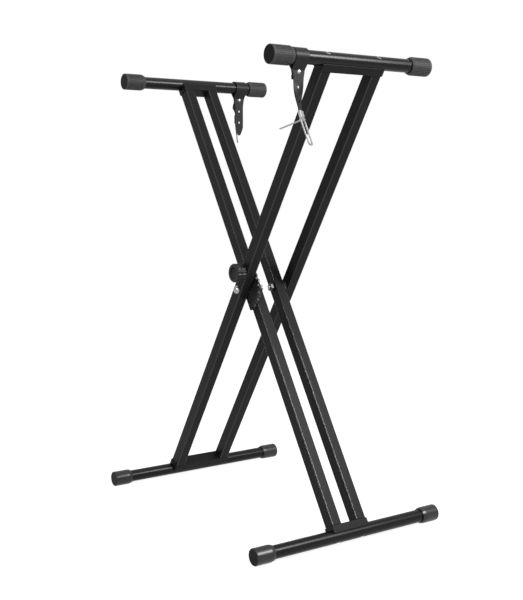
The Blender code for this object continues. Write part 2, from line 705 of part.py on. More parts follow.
def strap_width(drop, long_end, pointed):
    """The strap's width at a distance below the tube's axis."""
    start, stop = STRAP_NARROWS
    if drop < stop:
        share = max(0.0, drop - start) / (stop - start)
        return STRAP_WIDTH + (STRAP_LOOP_WIDTH - STRAP_WIDTH) * (0.5 + 0.5 * math.cos(math.pi * share))
    if pointed and drop > long_end - TIP_LENGTH:
        share = (drop - long_end + TIP_LENGTH) / TIP_LENGTH
        return STRAP_WIDTH + (TIP_WIDTH - STRAP_WIDTH) * share
    return STRAP_WIDTH


def strap(hand, frame, y, long_end, pointed, turns, stub_end, lean, angle):
    """A strap round a support tube. Returns the empty on the tube's axis that it hangs from."""
    back = (0, -frame["lean"] * TILT, 0)
    axis = empty(f"strap_{hand}_axis", frame, (0, y, REACH_UP), back)
    name = "strap_" + hand
    made = place(name, strap_mesh(name, long_end, pointed, turns, stub_end, lean, angle), RUBBER, axis)
    for drop in HOLE_DROPS:
        hole = rod_mesh(HOLE_RADIUS, 12 * STRAP_THICKNESS, ROUND_SIDES, "X")
        spot = flap_place(drop, long_end, turns[0], angle)
        facing = spot.to_euler()
        combine(made, cutter(f"{name}_hole_{round(drop / MM)}", hole, axis, spot.translation, facing))
    rivet_hole = rod_mesh(across(RIVET_RADIUS + TOUCH, ROUND_SIDES), 4 * STRAP_NECK, ROUND_SIDES, "X")
    combine(made, cutter(name + "_rivet_hole", rivet_hole, axis, (0, 0, -RIVET_DROP)))
    side = STRAP_LAYER_GAP / 2 + STRAP_THICKNESS + TOUCH
    profile = dome(RIVET_HEAD_RADIUS, RIVET_HEAD_HEIGHT, side, 3)
    profile += [(RIVET_RADIUS, side), (RIVET_RADIUS, -side), (RIVET_HEAD_RADIUS, -side)]
    profile += [(RIVET_HEAD_RADIUS, -side - RIVET_HEAD_HEIGHT / 2), (0.0, -side - RIVET_HEAD_HEIGHT / 2)]
    where = (0, 0, -RIVET_DROP)
    turned("strap_rivet_" + hand, profile, ROUND_SIDES, CHROME, axis, where, (0, math.pi / 2, 0))
    return axis


def buckle(hand, strap_axis, where, facing, loop_turn, tongue_turn):
    """The clip on a strap's end, with the wire loop and the tongue that swing on its barrel."""
    axis = empty(f"buckle_{hand}_axis", strap_axis, where, facing)
    body_size = (CLIP_THICKNESS, CLIP_WIDTH, CLIP_HEIGHT)
    body_at = (0, 0, CLIP_FLOOR + CLIP_HEIGHT / 2)
    name = "strap_clip_" + hand
    clip = place(name, box_mesh(body_size, name), CHROME, axis, body_at)
    bevel = clip.modifiers.new("edges", "BEVEL")
    bevel.width = 0.8 * MM
    bevel.segments = 1
    barrel = rod_mesh(BARREL_RADIUS, CLIP_WIDTH, ROUND_SIDES, "Y")
    combine(clip, cutter(name + "_barrel", barrel, axis), "UNION")
    web = box_mesh((2 * LOOP_WIRE, CLIP_WIDTH, 2 * CLIP_FLOOR))
    combine(clip, cutter(name + "_web", web, axis, (0, 0, CLIP_FLOOR)), "UNION")
    pocket_size = (STRAP_THICKNESS + 2 * TOUCH, STRAP_WIDTH + 2 * TOUCH, 2 * CLIP_HEIGHT)
    pocket_at = (0, 0, CLIP_FLOOR + BARREL_RADIUS + CLIP_HEIGHT)
    combine(clip, cutter(name + "_pocket", box_mesh(pocket_size), axis, pocket_at))
    hole = rod_mesh(across(LOOP_WIRE + TOUCH, ROUND_SIDES), 2 * CLIP_WIDTH, ROUND_SIDES, "Y")
    combine(clip, cutter(name + "_hole", hole, axis))
    notch_size = (3 * BARREL_RADIUS, TONGUE_EYE + 4 * TOUCH, 2 * (BARREL_RADIUS + TOUCH))
    combine(clip, cutter(name + "_notch", box_mesh(notch_size), axis))
    wire_loop(hand, axis, loop_turn)
    wire_tongue(hand, axis, tongue_turn)


def wire_loop(hand, axis, turn):
    """The buckle's wire loop, a rounded rectangle whose top bar runs through the barrel."""
    half = CLIP_WIDTH / 2 + LOOP_SIDE_GAP + LOOP_WIRE
    corners = (
        (half, -LOOP_LENGTH, -math.pi / 2, LOOP_FAR_CORNER),
        (half, 0.0, 0.0, LOOP_CORNER),
        (-half, 0.0, math.pi / 2, LOOP_CORNER),
        (-half, -LOOP_LENGTH, math.pi, LOOP_FAR_CORNER),
    )
    points = []
    for y, z, start, round_off in corners:
        centre_y = y - math.copysign(round_off, y)
        centre_z = z + round_off if z < -LOOP_CORNER else z - round_off
        for i in range(5):
            angle = start + math.pi / 2 * i / 4
            points.append((centre_y + round_off * math.cos(angle), centre_z + round_off * math.sin(angle)))
    curve = bpy.data.curves.new("strap_loop_" + hand, "CURVE")
    curve.dimensions = "3D"
    curve.bevel_depth = LOOP_WIRE
    curve.bevel_resolution = 2
    spline = curve.splines.new("POLY")
    spline.points.add(len(points) - 1)
    for point, (y, z) in zip(spline.points, points):
        point.co = (0, y, z, 1)
    spline.use_cyclic_u = True
    hinge = empty(f"loop_{hand}_axis", axis, (0, 0, 0), (0, -turn, 0))
    return place("strap_loop_" + hand, curve, CHROME, hinge)


def wire_tongue(hand, axis, turn):
    """The buckle's tongue: an eye round the loop's top bar and a tapered wire."""
    hinge = empty(f"tongue_{hand}_axis", axis, (0, 0, 0), (0, -turn, 0))
    name = "strap_tongue_" + hand
    eye = rod_mesh(BARREL_RADIUS, TONGUE_EYE, ROUND_SIDES, "Y", name)
    made = place(name, eye, CHROME, hinge)
    work = bmesh.new()
    length = TONGUE_LENGTH - BARREL_RADIUS / 2
    bmesh.ops.create_cone(
        work, cap_ends=True, segments=10, radius1=0.9 * TONGUE_WIRE, radius2=TONGUE_WIRE, depth=length
    )
    prong_at = (0, 0, -BARREL_RADIUS / 2 - length / 2)
    combine(made, cutter(name + "_prong", mesh_from(work, "prong"), hinge, prong_at), "UNION")
    bore = rod_mesh(across(LOOP_WIRE + TOUCH, ROUND_SIDES), 3 * TONGUE_EYE, ROUND_SIDES, "Y")
    return combine(made, cutter(name + "_bore", bore, hinge))


def build_straps():
    """Both straps: the right one ends in its buckle, the left one in a point with its buckle behind."""
    flap_x = (STRAP_LAYER_GAP + STRAP_THICKNESS) / 2
    hinge_below_end = CLIP_FLOOR + BARREL_RADIUS + TOUCH
    bend = (STUB_DROP_RIGHT, STRAP_LEAN_RIGHT, BOW_ANGLE)
    right = strap("right", OUTER, STRAP_RIGHT_Y, BUCKLE_DROP, False, (STRAP_TURN, 0.0), *bend)
    foot = flap_place(BUCKLE_DROP + hinge_below_end, BUCKLE_DROP, STRAP_TURN, BOW_ANGLE)
    buckle("right", right, foot.translation, foot.to_euler(), LOOP_REST, TONGUE_REST)
    bend = (STUB_DROP_LEFT, STRAP_LEAN_LEFT, 0.0)
    left = strap("left", INNER, STRAP_LEFT_Y, TIP_DROP, True, (0.0, STUB_TURN_LEFT), *bend)
    stub_foot = (-flap_x - STRAP_LEAN_LEFT, 0, -STUB_DROP_LEFT - hinge_below_end)
    buckle("left", left, stub_foot, (0, 0, STUB_TURN_LEFT), LOOP_REST_LEFT, LOOP_REST_LEFT)


def main():
    """Builds the stand."""
    outer_rails = build_frame(OUTER, "outer", "right", "left")
    inner_rails = build_frame(INNER, "inner", "left", "right")
    build_pivot(outer_rails, inner_rails, lock_plate())
    build_lock(outer_rails[0])
    build_straps()


main()
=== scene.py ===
"""Dresses the folding double X keyboard stand for its picture.

The CAD model is read from model.glb. The parts that show are modelled here with finer edges and
their own finishes, and the small steel parts keep their solids and get a finish. Sizes are in metres.
"""

import logging
import math
from collections.abc import Callable, Iterator, Sequence
from contextlib import contextmanager
from dataclasses import dataclass
from enum import Enum

import bmesh
import bpy
from mathutils import Matrix, Vector


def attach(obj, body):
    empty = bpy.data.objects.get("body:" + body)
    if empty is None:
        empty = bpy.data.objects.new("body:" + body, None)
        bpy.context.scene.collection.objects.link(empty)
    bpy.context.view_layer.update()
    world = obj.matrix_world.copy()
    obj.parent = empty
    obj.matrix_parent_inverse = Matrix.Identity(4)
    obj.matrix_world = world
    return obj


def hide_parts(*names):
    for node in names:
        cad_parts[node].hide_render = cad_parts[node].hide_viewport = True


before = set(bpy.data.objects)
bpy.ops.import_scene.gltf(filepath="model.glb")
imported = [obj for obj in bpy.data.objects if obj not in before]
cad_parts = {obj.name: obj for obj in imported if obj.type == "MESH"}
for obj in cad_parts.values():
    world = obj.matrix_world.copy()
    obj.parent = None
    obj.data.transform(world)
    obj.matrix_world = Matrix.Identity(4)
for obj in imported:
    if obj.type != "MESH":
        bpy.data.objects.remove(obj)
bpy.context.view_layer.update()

LOG = logging.getLogger("keyboard_stand")
MM = 0.001

TILT = math.radians(32.5)
REACH_UP = 510 * MM
REACH_DOWN = 522 * MM
FOOT_CAP_RADIUS = 16 * MM
PIVOT_HEIGHT = REACH_DOWN * math.cos(TILT) + FOOT_CAP_RADIUS
TOUCH = 0.3 * MM
TUBE_RADIUS = 12.5 * MM
SEAT_RISE = 4 * MM
SADDLE_HEIGHT = 16 * MM
SADDLE_INSET = SEAT_RISE + SADDLE_HEIGHT
SUPPORT_LENGTH = 360 * MM
FOOT_LENGTH = 434 * MM
OUTER_WIDTH = 138 * MM
INNER_WIDTH = 80 * MM
PIN_UP = 43 * MM
PIN_HOLE_RADIUS = 3.7 * MM
BOLT_HOLE_RADIUS = 3.3 * MM
BUCKLE_HINGE_DROP = 6.9 * MM


class Side(Enum):
    """The front of the stand is towards -Y and the back towards +Y."""

    FRONT = -1
    BACK = 1

    @property
    def word(self) -> str:
        """The side's name as the nodes spell it."""
        return self.name.lower()


class End(Enum):
    """The two ends of a leg frame."""

    TOP = 1
    FOOT = -1


def clear_selection() -> None:
    """Leaves edit mode and deselects every object."""
    active = bpy.context.view_layer.objects.active
    if active is not None and active.mode != "OBJECT":
        bpy.ops.object.mode_set(mode="OBJECT")
    bpy.ops.object.select_all(action="DESELECT")


def make_active(piece: bpy.types.Object) -> None:
    """Selects one piece alone and makes it the active object."""
    clear_selection()
    piece.select_set(True)
    bpy.context.view_layer.objects.active = piece


@contextmanager
def editing(piece: bpy.types.Object) -> Iterator[None]:
    """Holds a piece in edit mode, with nothing selected at first."""
    make_active(piece)
    bpy.ops.object.mode_set(mode="EDIT")
    bpy.ops.mesh.select_mode(type="FACE")
    bpy.ops.mesh.select_all(action="DESELECT")
    yield
    bpy.ops.object.mode_set(mode="OBJECT")


def choose_faces(piece: bpy.types.Object, wanted: Callable[[bmesh.types.BMFace], bool]) -> None:
    """Selects the faces that pass a test, in edit mode.

    Args:
        piece: The piece in edit mode.
        wanted: Says of a face whether it is selected.
    """
    bpy.ops.mesh.select_mode(type="FACE")
    bpy.ops.mesh.select_all(action="DESELECT")
    work = bmesh.from_edit_mesh(piece.data)
    for face in work.faces:
        face.select_set(wanted(face))
    bmesh.update_edit_mesh(piece.data)


def choose_edges(piece: bpy.types.Object, wanted: Callable[[bmesh.types.BMEdge], bool]) -> None:
    """Selects the edges that pass a test, in edit mode.

    Args:
        piece: The piece in edit mode.
        wanted: Says of an edge whether it is selected.
    """
    bpy.ops.mesh.select_mode(type="EDGE")
    bpy.ops.mesh.select_all(action="DESELECT")
    work = bmesh.from_edit_mesh(piece.data)
    for edge in work.edges:
        edge.select_set(wanted(edge))
    bmesh.update_edit_mesh(piece.data)


def newest(name: str) -> bpy.types.Object:
    """Names the object that an operator has just added, and returns it."""
    piece = bpy.context.view_layer.objects.active
    piece.name = name
    piece.data.name = name
    return piece


def bake_place(piece: bpy.types.Object, place: Matrix | None = None) -> bpy.types.Object:
    """Moves a piece's place, turn and scale into its mesh, after an optional further move."""
    bpy.context.view_layer.update()
    if place is not None:
        piece.matrix_world = place @ piece.matrix_world
    make_active(piece)
    bpy.ops.object.transform_apply(location=True, rotation=True, scale=True)
    return piece


def add_box(name: str, size: Sequence[float], centre: Sequence[float] = (0, 0, 0)) -> bpy.types.Object:
    """A box primitive of this size, its place in its mesh."""
    clear_selection()
    bpy.ops.mesh.primitive_cube_add(size=1, location=centre, scale=size)
    return bake_place(newest(name))


def add_rod(
    name: str, radius: float, length: float, sides: int = 48, axis: str = "Z",
    centre: Sequence[float] = (0, 0, 0), ends: str = "NGON",
) -> bpy.types.Object:
    """A cylinder primitive along an axis.

    Args:
        name: The new object's name.
        radius: Its radius.
        length: Its length.
        sides: How many sides it has.
        axis: "X", "Y" or "Z".
        centre: Its middle.
        ends: "NGON" for closed ends or "NOTHING" for open ones.

    Returns:
        The cylinder, its place in its mesh.
    """
    turn = {"X": (0, math.pi / 2, 0), "Y": (-math.pi / 2, 0, 0), "Z": (0, 0, 0)}[axis]
    clear_selection()
    bpy.ops.mesh.primitive_cylinder_add(
        vertices=sides, radius=radius, depth=length, end_fill_type=ends, location=centre, rotation=turn
    )
    return bake_place(newest(name))


def add_cone(
    name: str, low_radius: float, high_radius: float, length: float, sides: int = 64,
    centre: Sequence[float] = (0, 0, 0),
) -> bpy.types.Object:
    """A cone primitive along Z, cut off flat at both ends.

    Args:
        name: The new object's name.
        low_radius: Its radius at the lower end.
        high_radius: Its radius at the upper end.
        length: Its length.
        sides: How many sides it has.
        centre: Its middle.

    Returns:
        The cone, its place in its mesh.
    """
    clear_selection()
    bpy.ops.mesh.primitive_cone_add(
        vertices=sides, radius1=low_radius, radius2=high_radius, depth=length, location=centre
    )
    return bake_place(newest(name))


def apply_modifier(piece: bpy.types.Object, kind: str, **settings: object) -> None:
    """Adds a modifier with these settings and applies it."""
    modifier = piece.modifiers.new(kind.lower(), kind)
    for key, value in settings.items():
        setattr(modifier, key, value)
    make_active(piece)
    bpy.ops.object.modifier_apply(modifier=modifier.name)


def carve(piece: bpy.types.Object, tool: bpy.types.Object, operation: str = "DIFFERENCE") -> None:
    """Cuts a tool out of a piece, or joins it on, and throws the tool away."""
    apply_modifier(piece, "BOOLEAN", object=tool, operation=operation, solver="EXACT")
    bpy.data.objects.remove(tool, do_unlink=True)


def break_edges(piece: bpy.types.Object, width: float, degrees: float) -> None:
    """Rounds off the edges that are sharper than an angle."""
    limit = math.radians(degrees)
    apply_modifier(piece, "BEVEL", width=width, segments=2, limit_method="ANGLE", angle_limit=limit)


def smooth(piece: bpy.types.Object, degrees: float = 35) -> None:
    """Shades a piece smooth except across edges sharper than an angle."""
    make_active(piece)
    bpy.ops.object.shade_smooth_by_angle(angle=math.radians(degrees))
    apply_modifier(piece, "WEIGHTED_NORMAL", keep_sharp=True)


def lathe(name: str, profile: Sequence[tuple[float, float]], steps: int = 64) -> bpy.types.Object:
    """Spins a profile of (radius, height) round Z, as on a lathe.

    Args:
        name: The new object's name.
        profile: Points from the axis round the section and back to the axis, or a closed loop.
        steps: How many steps one turn has.

    Returns:
        The turned piece, with its normals outward.
    """
    data = bpy.data.meshes.new(name)
    edges = [(i, i + 1) for i in range(len(profile) - 1)]
    if profile[0][0] > 0 or profile[-1][0] > 0:
        edges.append((len(profile) - 1, 0))
    data.from_pydata([(radius, 0, height) for radius, height in profile], edges, [])
    piece = bpy.data.objects.new(name, data)
    bpy.context.scene.collection.objects.link(piece)
    make_active(piece)
    bpy.ops.object.mode_set(mode="EDIT")
    bpy.ops.mesh.select_all(action="SELECT")
    bpy.ops.mesh.spin(steps=steps, angle=2 * math.pi, center=(0, 0, 0), axis=(0, 0, 1))
    bpy.ops.mesh.select_all(action="SELECT")
    bpy.ops.mesh.remove_doubles(threshold=0.000005)
    bpy.ops.mesh.normals_make_consistent(inside=False)
    bpy.ops.object.mode_set(mode="OBJECT")
    return piece


def wire(name: str, points: Sequence[Vector], radius: float, closed: bool = False) -> bpy.types.Object:
    """Sweeps a round wire along points.

    Args:
        name: The new object's name.
        points: The wire's middle line.
        radius: The wire's radius.
        closed: Whether the line joins up with its start.

    Returns:
        The wire as a mesh.
    """
    curve = bpy.data.curves.new(name, "CURVE")
    curve.dimensions = "3D"
    curve.bevel_depth = radius
    curve.bevel_resolution = 3
    curve.use_fill_caps = True
    spline = curve.splines.new("POLY")
    spline.points.add(len(points) - 1)
    for point, where in zip(spline.points, points):
        point.co = (*where, 1)
    spline.use_cyclic_u = closed
    piece = bpy.data.objects.new(name, curve)
    bpy.context.scene.collection.objects.link(piece)
    make_active(piece)
    bpy.ops.object.convert(target="MESH")
    return bpy.context.view_layer.objects.active


def leg_place(lean: int) -> Matrix:
    """The place of a leg frame: its Z runs up the leg from the pivot, and its X across it."""
    return Matrix.Translation((0, 0, PIVOT_HEIGHT)) @ Matrix.Rotation(lean * TILT, 4, "Y")


def hand_over(piece: bpy.types.Object, body: str, slot: str, *nodes: str) -> None:
    """Puts a finished piece in the model.

    Args:
        piece: The piece, its place in its mesh.
        body: The CAD body that it rides on.
        slot: The name of the record's material slot for the piece; not used.
        *nodes: The CAD nodes that it stands for.
    """
    if nodes:
        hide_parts(*nodes)
    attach(piece, body)
    LOG.info("%s rides on %s", piece.name, body)


def new_group(name: str, inputs: dict[str, float], output: str) -> bpy.types.NodeTree:
    """An empty shader node group with float inputs and one float output."""
    tree = bpy.data.node_groups.new(name, "ShaderNodeTree")
    for label, value in inputs.items():
        socket = tree.interface.new_socket(label, in_out="INPUT", socket_type="NodeSocketFloat")
        socket.default_value = value
    tree.interface.new_socket(output, in_out="OUTPUT", socket_type="NodeSocketFloat")
    return tree


class SurfaceEffects:
    """The node groups that several finishes share."""

    def __init__(self) -> None:
        """Builds each group once."""
        self.grain = self._grain()
        self.blotches = self._blotches()
        self.scratches = self._scratches()

    def _noise(self, tree: bpy.types.NodeTree, stretch: Sequence[float], detail: float) -> bpy.types.Node:
        """A noise on Object coordinates, stretched along the axes, whose scale is the group's first input."""
        given = tree.nodes.new("NodeGroupInput")
        where = tree.nodes.new("ShaderNodeTexCoord")
        mapping = tree.nodes.new("ShaderNodeMapping")
        mapping.inputs["Scale"].default_value = stretch
        noise = tree.nodes.new("ShaderNodeTexNoise")
        noise.inputs["Detail"].default_value = detail
        tree.links.new(where.outputs["Object"], mapping.inputs["Vector"])
        tree.links.new(mapping.outputs["Vector"], noise.inputs["Vector"])
        tree.links.new(given.outputs[0], noise.inputs["Scale"])
        return noise

    def _ranged(self, tree: bpy.types.NodeTree, noise: bpy.types.Node, low: float, high: float) -> None:
        """Keeps the noise between two levels, times the group's second input, as the group's output."""
        given = tree.nodes.new("NodeGroupInput")
        spread = tree.nodes.new("ShaderNodeMapRange")
        spread.inputs["From Min"].default_value = low
        spread.inputs["From Max"].default_value = high
        times = tree.nodes.new("ShaderNodeMath")
        times.operation = "MULTIPLY"
        out = tree.nodes.new("NodeGroupOutput")
        tree.links.new(noise.outputs["Fac"], spread.inputs["Value"])
        tree.links.new(spread.outputs["Result"], times.inputs[0])
        tree.links.new(given.outputs[1], times.inputs[1])
        tree.links.new(times.outputs[0], out.inputs[0])

    def _grain(self) -> bpy.types.NodeTree:
        """The fine orange peel of powder coat, or the pores of moulded rubber."""
        tree = new_group("fine_grain", {"Scale": 700.0, "Depth": 1.0}, "Height")
        self._ranged(tree, self._noise(tree, (1, 1, 1), 3.0), 0.3, 0.7)
        return tree

    def _blotches(self) -> bpy.types.NodeTree:
        """Soft uneven patches, as where hands have polished a surface."""
        tree = new_group("soft_patches", {"Scale": 14.0, "Amount": 1.0}, "Mask")
        self._ranged(tree, self._noise(tree, (1, 1, 1), 4.0), 0.35, 0.7)
        return tree

    def _scratches(self) -> bpy.types.NodeTree:
        """Fine hairlines along Y, as on a stamped plate."""
        tree = new_group("hairlines", {"Scale": 90.0, "Amount": 1.0}, "Mask")
        self._ranged(tree, self._noise(tree, (14, 0.6, 14), 5.0), 0.6, 0.8)
        return tree


@dataclass(frozen=True)
class Finish:
    """A surface finish: its colours, gloss, and how uneven it is.

    Attributes:
        name: The material's name.
        colour: Its main colour, linear.
        worn: The colour of its patches and hairlines.
        roughness: Its lowest roughness.
        uneven: How much the patches add to the roughness.
        metallic: 1 for bare metal.
        grain_scale: How fine the grain is.
        grain_depth: How strong its bump is.
        patches: How much of the worn colour the patches show.
        hairlines: How much of the worn colour the hairlines show.
        specular: The shader's specular level.
    """

    name: str
    colour: tuple[float, float, float]
    worn: tuple[float, float, float]
    roughness: float
    uneven: float = 0.08
    metallic: float = 0.0
    grain_scale: float = 700.0
    grain_depth: float = 0.1
    patches: float = 0.3
    hairlines: float = 0.0
    specular: float = 0.3

    def build(self, effects: SurfaceEffects) -> bpy.types.Material:
        """Makes the material.

        Args:
            effects: The shared node groups.

        Returns:
            The material, with the finish's name.
        """
        made = bpy.data.materials.new(self.name)
        made.use_nodes = True
        tree = made.node_tree
        shader = tree.nodes["Principled BSDF"]
        shader.inputs["Metallic"].default_value = self.metallic
        shader.inputs["Specular IOR Level"].default_value = self.specular
        patches = self._group(tree, effects.blotches, 14.0, self.patches)
        lines = self._group(tree, effects.scratches, 90.0, self.hairlines)
        shares = tree.nodes.new("ShaderNodeMath")
        shares.operation = "MAXIMUM"
        tree.links.new(patches.outputs[0], shares.inputs[0])
        tree.links.new(lines.outputs[0], shares.inputs[1])
        blend = tree.nodes.new("ShaderNodeMix")
        blend.data_type = "RGBA"
        blend.inputs["A"].default_value = (*self.colour, 1)
        blend.inputs["B"].default_value = (*self.worn, 1)
        tree.links.new(shares.outputs[0], blend.inputs["Factor"])
        tree.links.new(blend.outputs["Result"], shader.inputs["Base Color"])
        gloss = tree.nodes.new("ShaderNodeMapRange")
        gloss.inputs["To Min"].default_value = self.roughness
        gloss.inputs["To Max"].default_value = self.roughness + self.uneven
        tree.links.new(shares.outputs[0], gloss.inputs["Value"])
        tree.links.new(gloss.outputs["Result"], shader.inputs["Roughness"])
        grain = self._group(tree, effects.grain, self.grain_scale, 1.0)
        bump = tree.nodes.new("ShaderNodeBump")
        bump.inputs["Strength"].default_value = self.grain_depth
        bump.inputs["Distance"].default_value = 0.0002
        tree.links.new(grain.outputs[0], bump.inputs["Height"])
        tree.links.new(bump.outputs["Normal"], shader.inputs["Normal"])
        return made

    def _group(
        self, tree: bpy.types.NodeTree, effect: bpy.types.NodeTree, scale: float, amount: float
    ) -> bpy.types.Node:
        """Places a shared group with its own two values."""
        node = tree.nodes.new("ShaderNodeGroup")
        node.node_tree = effect
        node.inputs[0].default_value = scale
        node.inputs[1].default_value = amount
        return node


POWDER_COAT = Finish(
    name="powder_coat", colour=(0.0075, 0.0075, 0.0073), worn=(0.012, 0.012, 0.0117),
    roughness=0.34, grain_depth=0.25, specular=0.05,
)
CORNER_COAT = Finish(
    name="corner_coat", colour=(0.0065, 0.0065, 0.0063), worn=(0.01, 0.01, 0.0098),
    roughness=0.16, grain_depth=0.05, specular=0.35,
)
GLOSS_PAINT = Finish(
    name="gloss_paint", colour=(0.002, 0.002, 0.0022), worn=(0.006, 0.006, 0.0064),
    roughness=0.28, grain_scale=250, grain_depth=0.0, specular=0.15,
)
CAP_RUBBER = Finish(
    name="cap_rubber", colour=(0.022, 0.022, 0.0226), worn=(0.034, 0.034, 0.0348),
    roughness=0.55, grain_scale=1500, grain_depth=0.3, specular=0.2,
)
# Painted shade: the caps' end faces are the same rubber as their sides, painted much darker than the sides to
# stand in for the shade on them.
CAP_END_PAINTED_SHADE = Finish(
    name="cap_face", colour=(0.002, 0.002, 0.0021), worn=(0.004, 0.004, 0.0042),
    roughness=0.4, grain_scale=1500, grain_depth=0.1, specular=0.05,
)
FOOT_RUBBER = Finish(
    name="foot_rubber", colour=(0.006, 0.006, 0.0064), worn=(0.014, 0.014, 0.0145),
    roughness=0.32, grain_scale=1500, grain_depth=0.05, specular=0.35,
)
STRAP_RUBBER = Finish(
    name="strap_rubber", colour=(0.007, 0.007, 0.0076), worn=(0.013, 0.013, 0.0139),
    roughness=0.4, grain_scale=1200, grain_depth=0.2, specular=0.12,
)
KNOB_PLASTIC = Finish(
    name="knob_plastic", colour=(0.006, 0.006, 0.0062), worn=(0.012, 0.012, 0.0123),
    roughness=0.36, grain_scale=1100, specular=0.16,
)
NYLON = Finish(name="nylon_washer", colour=(0.02, 0.02, 0.02), worn=(0.035, 0.035, 0.035), roughness=0.5)
PLATE_STEEL = Finish(
    name="plate_steel", colour=(0.006, 0.006, 0.0062), worn=(0.05, 0.05, 0.052),
    roughness=0.3, hairlines=0.3, grain_depth=0.1, specular=0.4,
)
CHROME = Finish(
    name="chrome", colour=(0.3, 0.3, 0.31), worn=(0.18, 0.18, 0.185),
    roughness=0.24, metallic=1.0, grain_depth=0.0,
)
WIRE_STEEL = Finish(
    name="wire_steel", colour=(0.26, 0.26, 0.265), worn=(0.18, 0.18, 0.18),
    roughness=0.55, metallic=0.7, grain_depth=0.0,
)
ZINC = Finish(
    name="zinc_plate", colour=(0.28, 0.28, 0.285), worn=(0.2, 0.2, 0.2),
    roughness=0.4, metallic=1.0, grain_depth=0.0,
)
DULL_STEEL = Finish(
    name="dull_steel", colour=(0.1, 0.1, 0.103), worn=(0.06, 0.06, 0.062),
    roughness=0.5, metallic=0.8, grain_depth=0.0,
)


class Paintbox:
    """Holds each finish's material, made once."""

    def __init__(self) -> None:
        """Starts with the shared effects and no material."""
        self.effects = SurfaceEffects()
        self.made: dict[str, bpy.types.Material] = {}

    def paint(self, piece: bpy.types.Object, finish: Finish) -> None:
        """Gives a piece one finish all over."""
        if finish.name not in self.made:
            self.made[finish.name] = finish.build(self.effects)
        piece.data.materials.clear()
        piece.data.materials.append(self.made[finish.name])

    def paint_faces(
        self, piece: bpy.types.Object, finish: Finish, wanted: Callable[[bpy.types.MeshPolygon], bool]
    ) -> None:
        """Gives some faces of a painted piece another finish.

        Args:
            piece: The piece, already painted.
            finish: The finish for those faces.
            wanted: Says of a face whether it takes the finish.
        """
        if finish.name not in self.made:
            self.made[finish.name] = finish.build(self.effects)
        piece.data.materials.append(self.made[finish.name])
        for face in piece.data.polygons:
            if wanted(face):
                face.material_index = len(piece.data.materials) - 1


@dataclass
class EndCap:
    """A rubber cap on a tube's end, modelled along Z with its mouth at 0.

    Attributes:
        radius: Its outer radius.
        length: Its length over the closed end.
        grooves: How many lengthwise grooves it has, or 0 for a plain cap.
    """

    radius: float
    length: float
    grooves: int = 0
    collar_radius: float = 14.6 * MM
    collar_length: float = 6 * MM
    collar_slope: float = 1.5 * MM
    plain_end: float = 6 * MM
    end_rounding: float = 2 * MM
    end_wall: float = 4 * MM
    groove_depth: float = 0.8 * MM
    groove_side: float = 0.25 * MM

    @property
    def ribs_from(self) -> float:
        """Where the ribs start, above the sloped collar."""
        return self.collar_length + self.collar_slope

    @property
    def ribs_to(self) -> float:
        """Where the ribs end, below the plain closed end."""
        return self.length - self.plain_end

    def model(self, name: str) -> bpy.types.Object:
        """Models one cap and returns it."""
        sides = 4 * self.grooves if self.grooves else 96
        piece = add_rod(name, self.radius, self.length, sides, centre=(0, 0, self.length / 2))
        with editing(piece):
            for height in (self.collar_length, self.ribs_from, self.ribs_to):
                bpy.ops.mesh.select_all(action="SELECT")
                bpy.ops.mesh.bisect(plane_co=(0, 0, height), plane_no=(0, 0, 1))
            choose_edges(piece, lambda edge: max(vertex.co.z for vertex in edge.verts) < 0.0001)
            share = self.collar_radius / self.radius
            bpy.ops.transform.resize(value=(share, share, 1), center_override=(0, 0, 0))
            if self.grooves:
                self._groove(piece)
            choose_edges(piece, self._on_end)
            bpy.ops.mesh.bevel(offset=self.end_rounding, segments=4, affect="EDGES")
        bore = add_rod("bore", TUBE_RADIUS + TOUCH, 2 * (self.length - self.end_wall), 96)
        carve(piece, bore)
        smooth(piece, 32)
        return piece

    def _on_end(self, edge: bmesh.types.BMEdge) -> bool:
        """Whether an edge runs round the closed end's rim."""
        return min(vertex.co.z for vertex in edge.verts) > self.length - 0.0001

    def _groove(self, piece: bpy.types.Object) -> None:
        """Sinks every other pair of side faces between the collar and the closed end."""
        pitch = 2 * math.pi / self.grooves

        def in_groove(face: bmesh.types.BMFace) -> bool:
            """Whether a face is in the sunk half of its pitch."""
            middle = face.calc_center_median()
            turn = math.atan2(middle.y, middle.x) % pitch
            return abs(face.normal.z) < 0.1 and self.ribs_from < middle.z < self.ribs_to and turn < pitch / 2

        choose_faces(piece, in_groove)
        bpy.ops.mesh.inset(thickness=self.groove_side, depth=-self.groove_depth, use_even_offset=True)


